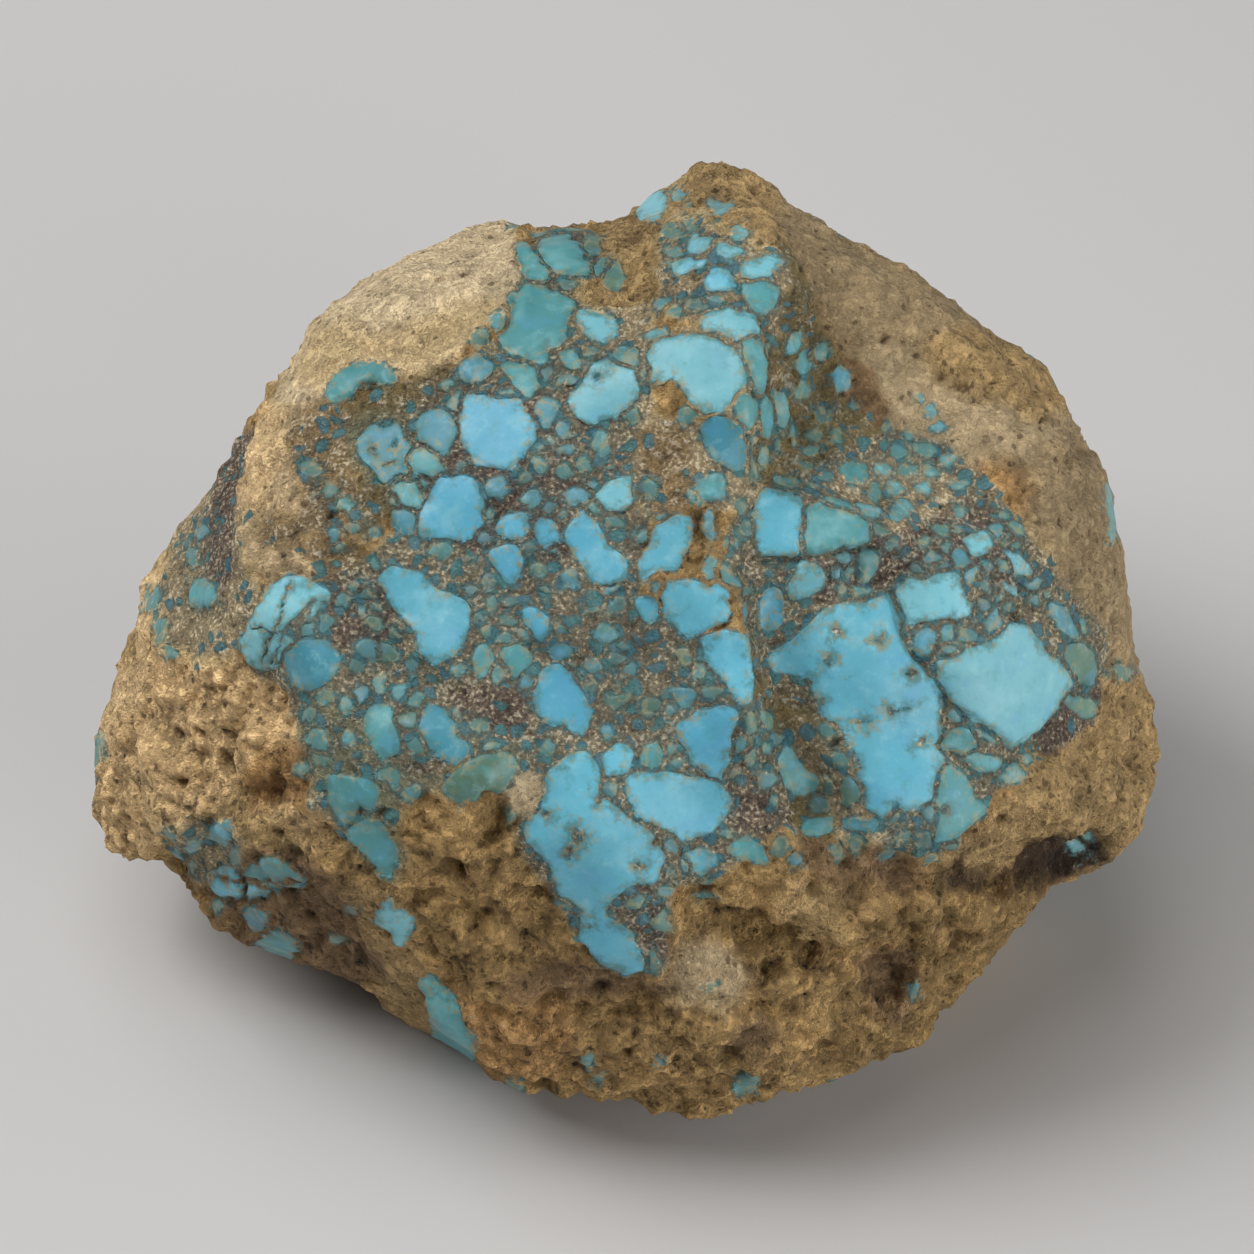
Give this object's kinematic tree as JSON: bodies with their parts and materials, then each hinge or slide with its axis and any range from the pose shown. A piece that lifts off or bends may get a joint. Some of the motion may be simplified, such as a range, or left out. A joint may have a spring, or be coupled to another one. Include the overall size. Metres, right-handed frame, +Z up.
{
  "type": "raw turquoise nugget",
  "caption": "Rough nugget of sky-blue turquoise nodules in brown host rock, with a pitted tan crust and ridges, resting on a flat break.",
  "frame": {"origin": "middle of the stone's box, at the level of the flat break that it rests on", "axes": "+X to the right along the stone's long side, +Y towards its back, +Z up; the showing face looks towards -Y and up"},
  "size_m": [0.0716, 0.0578, 0.052],
  "materials": {
    "turquoise_in_host_rock": "stone: sky-blue turquoise nodules with a waxy polish-like sheen in dull dark web, ochre-brown host rock and pitted tan crust"
  },
  "bodies": {
    "root": {"nugget": "turquoise_in_host_rock"}
  },
  "joints": []
}
